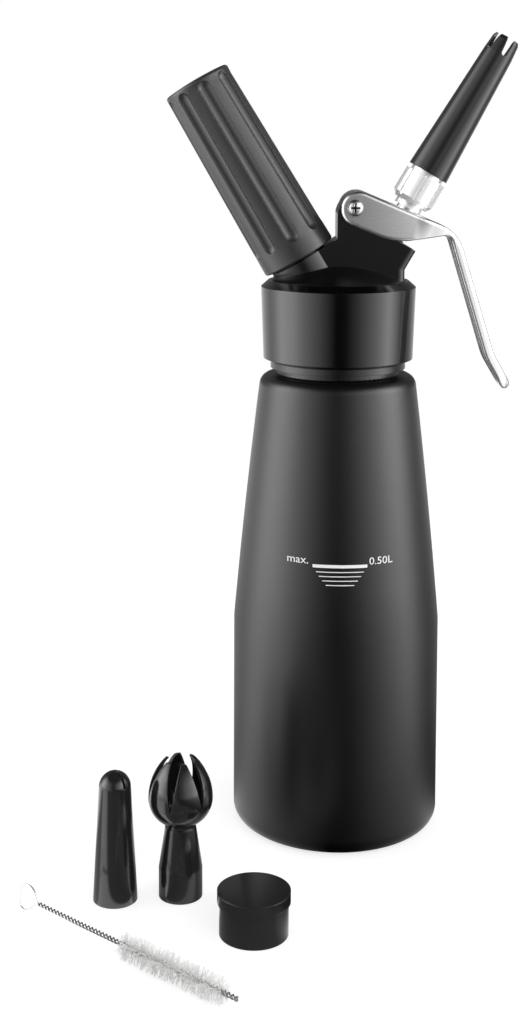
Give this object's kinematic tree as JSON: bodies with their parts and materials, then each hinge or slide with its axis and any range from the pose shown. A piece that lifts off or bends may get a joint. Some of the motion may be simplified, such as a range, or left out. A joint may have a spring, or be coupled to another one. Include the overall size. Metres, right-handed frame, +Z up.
{
  "type": "whipped cream dispenser",
  "caption": "Half-litre whipped cream dispenser: tapered black bottle, screwed head with lever valve, fluted charger holder and star tip, with spare tips, inlet cap and brush.",
  "frame": {"origin": "middle of the bottle's flat base, on the surface it stands on", "axes": "+Z up along the bottle's axis, +X to the lever and nozzle side, -Y to the side with the filling mark"},
  "size_m": [0.181, 0.1838, 0.3082],
  "materials": {
    "bottle_coating": "matt black coating",
    "head_moulding": "satin black moulding",
    "collar_gloss": "glossy black",
    "rubber": "matt rubber",
    "polished_steel": "polished",
    "turned_steel": "turned",
    "bright_chrome": "bright chrome",
    "tip_gloss": "glossy black plastic",
    "holder_moulding": "satin black moulding",
    "charger_steel": "bright zinc",
    "brush_steel": "drawn wire",
    "white_bristle": "nylon filament"
  },
  "bodies": {
    "bottle": {"bottle": "bottle_coating"},
    "seal": {"head_gasket": "rubber"},
    "head": {"head_body": "head_moulding", "collar_sleeve": "collar_gloss", "pivot_screw": "polished_steel", "pivot_nut": "polished_steel", "valve_guide": "turned_steel", "stem_seal_ring": "rubber", "valve_spring": "turned_steel", "inlet_stud": "turned_steel", "piercing_pin": "turned_steel", "inlet_seal": "rubber", "check_valve": "rubber"},
    "lever": {"lever": "polished_steel"},
    "valve": {"valve_stem": "turned_steel", "valve_seal": "rubber", "thrust_washer": "turned_steel", "nozzle_adapter": "bright_chrome"},
    "tip": {"star_tip": "tip_gloss"},
    "charger": {"gas_charger": "charger_steel"},
    "holder": {"holder_grip": "holder_moulding", "holder_insert": "turned_steel"},
    "spare_tulip_tip": {"tulip_tip": "tip_gloss"},
    "spare_straight_tip": {"straight_tip": "tip_gloss"},
    "spare_cap": {"inlet_cap": "tip_gloss"},
    "brush": {"brush_wire": "brush_steel", "brush_bristles": "white_bristle"}
  },
  "joints": [
    {"name": "gasket_lift", "type": "slide", "parent": "bottle", "child": "seal", "axis": [0, 0, 1], "range_m": [0, 0.01]},
    {"name": "head_turn", "type": "hinge", "parent": "seal", "child": "head", "pos_m": [0, 0, 0.2035], "axis": [0, 0, 1], "range_deg": [0, 900]},
    {"name": "lever_squeeze", "type": "hinge", "parent": "head", "child": "lever", "pos_m": [0.0057, 0, 0.2414], "axis": [0, 1, 0], "range_deg": [0, 13], "stiffness_Nm_per_rad": 0.8, "springref_deg": -11.46},
    {"name": "valve_push", "type": "slide", "parent": "head", "child": "valve", "axis": [-0.5, 0, -0.866], "range_m": [0, 0.00412], "deforming": ["valve_spring"]},
    {"name": "tip_unscrew", "type": "slide", "parent": "valve", "child": "tip", "axis": [0.5, 0, 0.866], "range_m": [0, 0.012]},
    {"name": "charger_out", "type": "slide", "parent": "head", "child": "charger", "axis": [-0.5105, 0, 0.8599], "range_m": [0, 0.012]},
    {"name": "holder_turn", "type": "hinge", "parent": "charger", "child": "holder", "pos_m": [0, 0, 0.1962], "axis": [-0.5105, 0, 0.8599], "range_deg": [0, 2160]},
    {"name": "tulip_tip_lift", "type": "slide", "parent": "bottle", "child": "spare_tulip_tip", "axis": [0, 0, 1], "range_m": [0, 0.06]},
    {"name": "straight_tip_lift", "type": "slide", "parent": "bottle", "child": "spare_straight_tip", "axis": [0, 0, 1], "range_m": [0, 0.06]},
    {"name": "cap_lift", "type": "slide", "parent": "bottle", "child": "spare_cap", "axis": [0, 0, 1], "range_m": [0, 0.06]},
    {"name": "brush_lift", "type": "slide", "parent": "bottle", "child": "brush", "axis": [0, 0, 1], "range_m": [0, 0.06]}
  ],
  "couplings": [
    {"joint": "gasket_lift", "follows": "head_turn", "m_per_rad": 0.00063662},
    {"joint": "valve_push", "follows": "lever_squeeze", "m_per_rad": 0.01817},
    {"joint": "charger_out", "follows": "holder_turn", "m_per_rad": 0.00031831}
  ]
}
